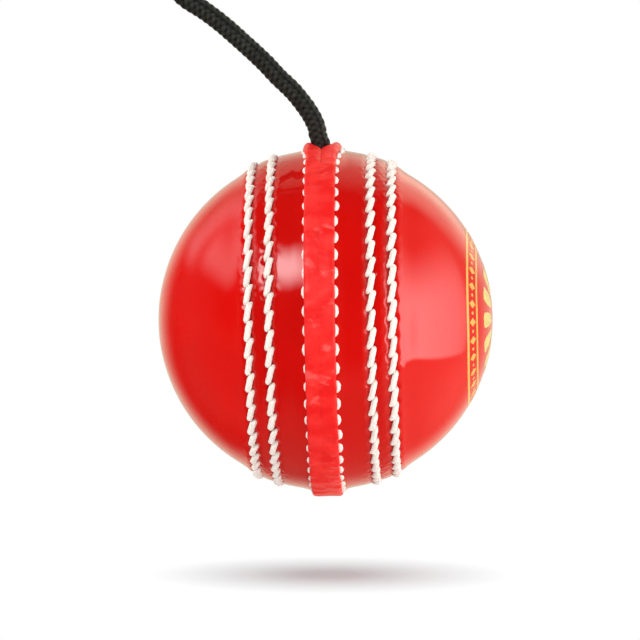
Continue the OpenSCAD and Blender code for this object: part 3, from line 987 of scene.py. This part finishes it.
class HANGING_BALL_OT_stitch_rows(bpy.types.Operator):
    """Slanted stitch rows, two on each side of the seam"""
    bl_idname = "hanging_ball.stitch_rows"
    bl_label = "Stitch rows"

    def execute(self, context):
        thread = waxed_thread(settings().finish)
        for side, word in SIDES:
            for number, (row, place) in enumerate(zip(stitch_rows(side), ("inner", "outer"))):
                self.sew_row(f"{word}_{place}_stitches", thread, row, 61 + 2 * side + number)
        return {"FINISHED"}

    @staticmethod
    def sew_row(name, thread, row, seed):
        """Each stitch lies along its row with a slant, curls at its ends and dives into the leather there."""
        ball, rows = settings().ball, settings().rows
        rng = np.random.default_rng(seed)
        middle = (np.arange(row.count) * row.step + rng.normal(0, 0.03, row.count) * row.step)[:, None]
        tilt = rng.uniform(0.85, 1.2, row.count)[:, None]
        lean = row.lean + row.aside * tilt * (0.5 * ALONG + 0.5 * ALONG ** 3) / ball.radius
        dive = ROW_DIVE * np.abs(ALONG) ** 5
        radius = ball.radius + rows.stitch_proud - 0.45 * rows.stitch_width - dive
        lines = round_seam(radius * np.sin(lean), radius * np.cos(lean), middle - ALONG * row.along)
        taper = np.sqrt(np.clip(1 - 0.9 * np.abs(ALONG) ** 6, 0.03, 1))
        width = rows.stitch_width * taper * rng.uniform(0.93, 1.05, row.count)[:, None]
        twists = ALONG * ROW_TWIST + rng.uniform(0, ANY_TURN, row.count)[:, None]
        sew(name, thread, lines, width, 0.85 * rows.stitch_width * taper, twists)


# The gold print

# Half the height and half the width of a lozenge, and of the dot after it
LOZENGE = (0.00115, 0.0009)
DOT = (0.00035, 0.00035)
# The rosette's bars: their ends as shares of the inner ring, and half a bar's width as a share of its step
BAR_FOOT = 0.36
BAR_HEAD = 0.76
BAR_HALF = 0.33


def on_pole(radius, turn, height):
    """Points at a radius round the right-hand pole, a turn about it, and a height above the leather."""
    out = settings().ball.radius
    lean = np.arcsin(radius / out)
    full = out + height + leather_sway(1, math.pi / 2 - lean, -turn)
    aside = full * np.sin(lean)
    return np.stack([full * np.cos(lean), aside * np.sin(turn), aside * np.cos(turn)], axis=-1) + MIDDLE


def foil_patch(inner, outer, start, end, foil):
    """A closed patch of foil between two radii at each turn: a flat tube that follows the leather."""
    turn = np.linspace(start, end, len(inner))[:, None]
    radius = inner[:, None] + (outer - inner)[:, None] * np.linspace(0, 1, 7)[None, :]
    return np.concatenate([on_pole(radius, turn, foil), on_pole(radius[:, ::-1], turn, -foil)], axis=1)


class HANGING_BALL_OT_gold_print(bpy.types.Operator):
    """Gold print: two rings with lozenges and dots between them, round a rosette of bars"""
    bl_idname = "hanging_ball.gold_print"
    bl_label = "Gold print"

    def execute(self, context):
        sizes, finish = settings().print, settings().finish
        gold = gold_foil("gold_foil", finish.gold)
        half = sizes.line / 2 * np.ones(361)
        for name, radius in (("outer_gold_ring", sizes.outer_ring), ("inner_gold_ring", sizes.inner_ring)):
            band = foil_patch(radius - half, radius + half, 0, 2 * math.pi, sizes.foil)
            dress(hoop_object(name, band[:-1]), gold, body="ball")
        dress(tubes_object("gold_lozenges", self.motifs(sizes)), gold, body="ball")
        pale = gold_foil("pale_gold_foil", finish.yellow)
        dress(tubes_object("gold_rosette", self.rosette(sizes)), pale, body="ball")
        return {"FINISHED"}

    @staticmethod
    def motifs(sizes):
        middle = (sizes.outer_ring + sizes.inner_ring) / 2
        step = 2 * math.pi / sizes.motif_count
        t = np.linspace(-1, 1, 13)
        shapes = ((0.0, *LOZENGE, np.clip(1 - np.abs(t), 0.02, 1)),
                  (0.5, *DOT, np.sqrt(np.clip(1 - t ** 2, 0.01, 1))))
        patches = []
        for number in range(sizes.motif_count):
            for shift, tall, wide, outline in shapes:
                at, reach = (number + shift) * step, wide / middle
                patches.append(foil_patch(middle - tall * outline, middle + tall * outline,
                                          at - reach, at + reach, sizes.foil))
        return np.array(patches)

    @staticmethod
    def rosette(sizes):
        step = 2 * math.pi / sizes.bar_count
        round_ends = np.sqrt(np.clip(1 - np.abs(np.linspace(-1, 1, 15)) ** 6, 0.01, 1))
        middle = (BAR_HEAD + BAR_FOOT) / 2 * sizes.inner_ring
        tall = (BAR_HEAD - BAR_FOOT) / 2 * sizes.inner_ring * round_ends
        return np.array([foil_patch(middle - tall, middle + tall, (number - BAR_HALF) * step,
                                    (number + BAR_HALF) * step, sizes.foil)
                         for number in range(sizes.bar_count)])


class HANGING_BALL_OT_inside(bpy.types.Operator):
    """Finishes of the core, the windings, the cork and the washer"""
    bl_idname = "hanging_ball.inside"
    bl_label = "Inside of the ball"

    def execute(self, context):
        finish = settings().finish
        twine = wound_twine(finish)
        finishes = {"core": core_compound(finish), "inner_winding": twine, "cork_layer": pressed_cork(finish),
                    "outer_winding": twine, "anchor_washer": washer_nylon(finish)}
        for node, material in finishes.items():
            dress(frame["nodes"][node], material)
        return {"FINISHED"}


# Camera, light and floor

# Lamps that the leather mirrors: azimuth, elevation, distance, size and radiance, then the ends of their
# strength across and upward, how wide their sides, foot and head fade, and their swivel and tilt in degrees
SHAPED_BOXES = {
    "left_front_box": (-29, 36, 0.6, (0.42, 0.34), 9.0, ((1, 1), (1, 1), (0.35, 0.45, 0.45)), 0, 0),
    "left_side_box": (-80, 33.5, 0.6, (0.66, 0.36), 2.3, ((0.6, 1), (1, 0.7), (0.25, 0.35, 0.6)), 0, -7),
    "left_back_box": (-123, 35, 0.6, (0.44, 0.46), 0.85, ((1, 1), (1, 1), (0.5, 0.25, 0.4)), 0, 0),
    "right_box": (92, 8.4, 0.62, (0.84, 0.70), 3.7, ((1.3, 0), (1, 1), (0.2, 0.06, 0.5)), -16, 4),
}
# Lamps that only lift the shade: azimuth, elevation, width and radiance
FILL_BOXES = {
    "front_box": (0, 5, 0.60, 0.6),
    "left_fill": (-105, 0, 0.80, 2.3),
    "right_fill": (75, 0, 0.80, 1.5),
    "top_fill": (0, 88, 0.60, 1.1),
    "low_box": (35, -50, 0.60, 3.7),
}
FILL_DISTANCE = 0.9
# The lamp for the floor alone, with its distance and size as above
FLOOR_BOX = (0, 90, 0.75, (3.0, 3.0), 0.98)
# The glow of the room on matte things, and the room in reflections: a direction, how much of it a ray has
# where the light begins and where it is full, and that light
ROOM_GLOW = 0.36
ROOM_TINT = (1, 0.97, 0.77, 1)
ROOM_DIM = 0.05
ROOM_BACK = ((0, 1, 0), 0.62, 0.95, 0.75)
ROOM_TOP = ((0, 0.75, 0.66), 0.72, 0.95, 0.5)
ROOM_SIDES = (
    ((1, 0, 0), 0.4, 0.85, 0.42),
    ((0.42, 0.78, 0.46), 0.90, 0.985, 0.75),
    ((0.35, 0, -0.94), 0.4, 0.8, 0.22),
    ((-0.9, 0, -0.43), 0.8, 0.95, 0.1),
)
WHITE = (1, 1, 1, 1)
FLOOR_R = 3.0
FLOOR_SIDES = 96
FLOOR_TINT = (0.67, 0.77, 0.78, 1)
FLOOR_MIRRORED = (0.6, 0.6, 0.6, 1)
# How much narrower the shadow is across and in depth than the fade's radius, and where the fade begins
SHADOW_SQUEEZE = (1.08, 1.35, 1.0)
FADE_START = 0.16


def sight(azimuth, elevation):
    """The way from the ball to something at an azimuth from the front, to the right, and an elevation."""
    return Vector((math.sin(azimuth) * math.cos(elevation), -math.cos(azimuth) * math.cos(elevation),
                   math.sin(elevation)))


def about_z(turn):
    return Quaternion((0, 0, 1), turn)


def lamp_fade(lamp, across, upward, edges):
    """Makes a lamp change its strength from left to right and from its foot to its head, and softens its
    edges: how wide its sides, its foot and its head fade, as shares of its size."""
    lamp.use_nodes = True
    w = Wiring(lamp.node_tree)
    split = w.node("SeparateXYZ", {0: w.node("NewGeometry").outputs["Parametric"]}).outputs
    sides, foot, head = edges
    strength = 1.0
    for way, ramp, low_edge, high_edge in (("X", across, sides, sides), ("Y", upward, foot, head)):
        for level in (w.spread(split[way], 0, 1, *ramp), w.eased(split[way], 0, low_edge),
                      w.eased(split[way], 1, 1 - high_edge)):
            strength = w.math("MULTIPLY", strength, level)
    w.plug(strength, w.tree.nodes["Emission"].inputs["Strength"])


def soft_box(name, azimuth, elevation, distance, size, radiance, receivers, fade=None, swivel=0, tilt=0):
    """An area lamp that lights the receivers only. fade gives the ends of its strength across and upward, and
    how wide its soft edges are, and a lamp without a fade isn't mirrored. swivel turns it off the ball, and
    tilt turns it in its own plane."""
    lamp = bpy.data.lights.new(name, "AREA")
    lamp.shape = "RECTANGLE"
    lamp.size, lamp.size_y = size
    lamp.energy = radiance * math.pi * size[0] * size[1]
    if fade:
        lamp_fade(lamp, *fade)
    made = bpy.data.objects.new(name, lamp)
    way = sight(math.radians(azimuth), math.radians(elevation))
    made.location = CENTRE + way * distance
    made.rotation_mode = "QUATERNION"
    made.rotation_quaternion = (about_z(math.radians(swivel)) @ way.to_track_quat("Z", "Y")
                                @ about_z(math.radians(tilt)))
    made.visible_camera = False
    made.visible_glossy = fade is not None
    made.light_linking.receiver_collection = receivers
    bpy.context.scene.collection.objects.link(made)


def studio_world():
    """White to the camera, an even glow on matte things, and in reflections a warm room: bright behind the
    ball and over it, with a pale wall at the right and a pale table below."""
    world = bpy.data.worlds.new("studio")
    bpy.context.scene.world = world
    world.use_nodes = True
    world.node_tree.nodes.clear()
    w = Wiring(world.node_tree)
    way = w.node("TexCoord").outputs["Generated"]

    def toward(direction, low, high, bright, dim=0.0):
        """From dim to bright as a reflected ray turns into a direction."""
        level = w.node("VectorMath", {0: way, 1: direction}, operation="DOT_PRODUCT").outputs["Value"]
        return w.eased(level, low, high, dim, bright)

    def background(tint, strength):
        return w.node("Background", {"Color": tint, "Strength": strength}).outputs[0]

    room = w.math("MAXIMUM", toward(*ROOM_BACK, ROOM_DIM), toward(*ROOM_TOP))
    for side in ROOM_SIDES:
        room = w.math("ADD", room, toward(*side))
    path = w.node("LightPath").outputs
    lit = w.mix(path["Is Glossy Ray"], background(WHITE, ROOM_GLOW), background(ROOM_TINT, room))
    w.node("OutputWorld", {"Surface": w.mix(path["Is Camera Ray"], lit, background(WHITE, 1.0))})


def floor_finish(stage):
    """Pale floor that keeps the ball's shadow, fades to plain white away from it, and is clear from below."""
    s = Shader("pale_floor")
    matte, grey = (s.node("BsdfDiffuse", {"Color": tint}).outputs[0] for tint in (FLOOR_TINT, FLOOR_MIRRORED))
    white = s.node("Emission", {"Strength": 1.0}).outputs[0]
    flat = s.node("Mapping", {"Vector": s.places, "Scale": SHADOW_SQUEEZE}).outputs["Vector"]
    away = s.node("VectorMath", {0: flat}, operation="LENGTH").outputs["Value"]
    fade = s.spread(away, FADE_START * stage.shadow_reach, stage.shadow_reach)
    seen = s.mix(s.node("LightPath").outputs["Is Camera Ray"], grey, s.mix(fade, matte, white))
    clear = s.node("BsdfTransparent").outputs[0]
    shown = s.mix(s.node("NewGeometry").outputs["Backfacing"], seen, clear)
    s.plug(shown, s.tree.nodes["Material Output"].inputs["Surface"])
    s.tree.nodes.remove(s.main)
    return s.material


class HANGING_BALL_OT_stage(bpy.types.Operator):
    """Camera at the photograph's angle, soft light and a pale floor"""
    bl_idname = "hanging_ball.stage"
    bl_label = "Stage"

    def execute(self, context):
        scene, stage = context.scene, settings().stage
        scene.view_settings.view_transform = "Standard"
        camera = self.camera(stage)
        scene.collection.objects.link(camera)
        scene.camera = camera
        studio_world()
        floor = self.floor(stage)
        floor_only, all_but_floor = map(bpy.data.collections.new, ("floor_only", "all_but_floor"))
        floor_only.objects.link(floor)
        all_but_floor.objects.link(floor)
        all_but_floor.collection_objects[0].light_linking.link_state = "EXCLUDE"
        for name, (*place, fade, swivel, tilt) in SHAPED_BOXES.items():
            soft_box(name, *place, all_but_floor, fade, swivel, tilt)
        for name, (azimuth, elevation, width, radiance) in FILL_BOXES.items():
            soft_box(name, azimuth, elevation, FILL_DISTANCE, (width, width), radiance, all_but_floor)
        soft_box("floor_box", *FLOOR_BOX, floor_only)
        return {"FINISHED"}

    @staticmethod
    def camera(stage):
        lens = bpy.data.cameras.new("camera")
        lens.lens = lens.sensor_width * stage.distance / stage.view_width
        lens.clip_start, lens.clip_end = 0.01, 20.0
        back = sight(stage.azimuth, stage.elevation)
        turn = (-back).to_track_quat("-Z", "Y") @ about_z(stage.roll)
        made = bpy.data.objects.new("camera", lens)
        made.rotation_mode = "QUATERNION"
        made.rotation_quaternion = turn
        made.location = CENTRE + turn @ Vector((stage.aim_right, stage.aim_up, 0)) + back * stage.distance
        return made

    @staticmethod
    def floor(stage):
        turn = full_turn(FLOOR_SIDES)
        points = FLOOR_R * np.stack([np.cos(turn), np.sin(turn), np.zeros_like(turn)], axis=-1)
        floor = new_object("floor", points.tolist(), [list(range(FLOOR_SIDES))])
        floor.location = CENTRE - Vector((0, 0, stage.floor_drop))
        floor.rotation_euler = (0, -stage.roll, 0)
        floor.data.materials.append(floor_finish(stage))
        floor.visible_glossy = False
        floor.visible_shadow = False
        return floor


class HANGING_BALL_PT_panel(bpy.types.Panel):
    """Sizes, colours and steps of the hanging ball"""
    bl_idname = "HANGING_BALL_PT_panel"
    bl_label = "Hanging ball"
    bl_space_type = "VIEW_3D"
    bl_region_type = "UI"
    bl_category = "Hanging ball"

    def draw(self, context):
        for step in STEPS:
            self.layout.operator(step.bl_idname)
        for name in HangingBall.__annotations__:
            group = getattr(settings(), name)
            for field in type(group).__annotations__:
                self.layout.prop(group, field)


GROUPS = (BallSizes, SeamSizes, RowSizes, CordSizes, PrintSizes, Finish, StageSettings, HangingBall)
STEPS = (HANGING_BALL_OT_stage, HANGING_BALL_OT_cord, HANGING_BALL_OT_covers, HANGING_BALL_OT_welts,
         HANGING_BALL_OT_seam_stitches, HANGING_BALL_OT_stitch_rows, HANGING_BALL_OT_gold_print,
         HANGING_BALL_OT_inside)
CLASSES = (*GROUPS, *STEPS, HANGING_BALL_PT_panel)


def register():
    for cls in CLASSES:
        bpy.utils.register_class(cls)
    bpy.types.Scene.hanging_ball = member("Hanging ball", "All its sizes and colours", HangingBall)


def unregister():
    del bpy.types.Scene.hanging_ball
    for cls in reversed(CLASSES):
        bpy.utils.unregister_class(cls)


def main():
    register()
    for step in STEPS:
        group, name = step.bl_idname.split(".")
        getattr(getattr(bpy.ops, group), name)()


if __name__ == "__main__":
    main()
